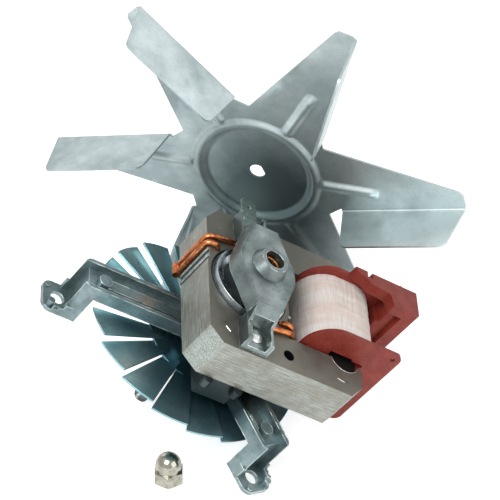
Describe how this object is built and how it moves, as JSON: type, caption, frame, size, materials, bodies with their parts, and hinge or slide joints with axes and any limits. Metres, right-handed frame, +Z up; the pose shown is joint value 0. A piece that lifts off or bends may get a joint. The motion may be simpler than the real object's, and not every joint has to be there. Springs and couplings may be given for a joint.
{
  "type": "oven fan motor",
  "caption": "Shaded-pole oven fan motor with a cast bracket, cooling fan, coil and stack, lying beside its detached bladed fan wheel and domed nut.",
  "frame": {"origin": "centre of the bounding box at bench level", "axes": "+Z up from the bench, +X to the right along the leaning fan wheel, +Y away behind the motor; the shaft axis is tilted, with its front end up and to the right"},
  "size_m": [0.1578, 0.1323, 0.1438],
  "materials": {
    "stack_steel": "oxidised sheared lamination edges",
    "bobbin_plastic": "moulded brick-red glass-filled nylon",
    "winding_copper": "enamelled copper wire",
    "tape": "off-white insulating tape",
    "ring_copper": "bare copper",
    "tinned": "tinned",
    "cast_alloy": "satin die-cast",
    "bronze": "sintered bronze",
    "felt": "oiled felt",
    "spring_steel": "bright spring steel",
    "rivet_metal": "bright peened",
    "shaft_steel": "ground",
    "core_steel": "turned lamination edges",
    "cage_alloy": "cast",
    "washer_plastic": "moulded",
    "zinc_fan": "blue-passivated zinc",
    "galvanised": "galvanised sheet",
    "nickel": "bright nickel"
  },
  "bodies": {
    "motor": {"lamination_stack": "stack_steel", "yoke_bar": "stack_steel", "bobbin": "bobbin_plastic", "coil_winding": "winding_copper", "coil_tape": "tape", "supply_tab_a": "tinned", "supply_tab_b": "tinned", "shading_ring_a": "ring_copper", "shading_ring_b": "ring_copper", "shading_ring_c": "ring_copper", "shading_ring_d": "ring_copper", "front_bridge": "cast_alloy", "front_bearing": "bronze", "front_felt_ring": "felt", "front_bearing_clip": "spring_steel", "rear_bracket": "cast_alloy", "rear_bearing": "bronze", "rear_felt_ring": "felt", "rear_bearing_clip": "spring_steel", "rivet_lower": "rivet_metal", "rivet_upper": "rivet_metal", "earth_tab": "tinned", "fan_wheel": "galvanised", "dome_nut": "nickel"},
    "rotor": {"shaft": "shaft_steel", "rotor_core": "core_steel", "rotor_cage": "cage_alloy", "front_thrust_washer": "washer_plastic", "rear_thrust_washer": "washer_plastic", "cooling_fan": "zinc_fan", "cooling_fan_hub": "shaft_steel"}
  },
  "joints": [
    {"name": "rotor_spin", "type": "hinge", "parent": "motor", "child": "rotor", "pos_m": [-0.00156, -0.02219, 0.06347], "axis": [0.569, -0.1412, 0.8101], "continuous": true}
  ]
}
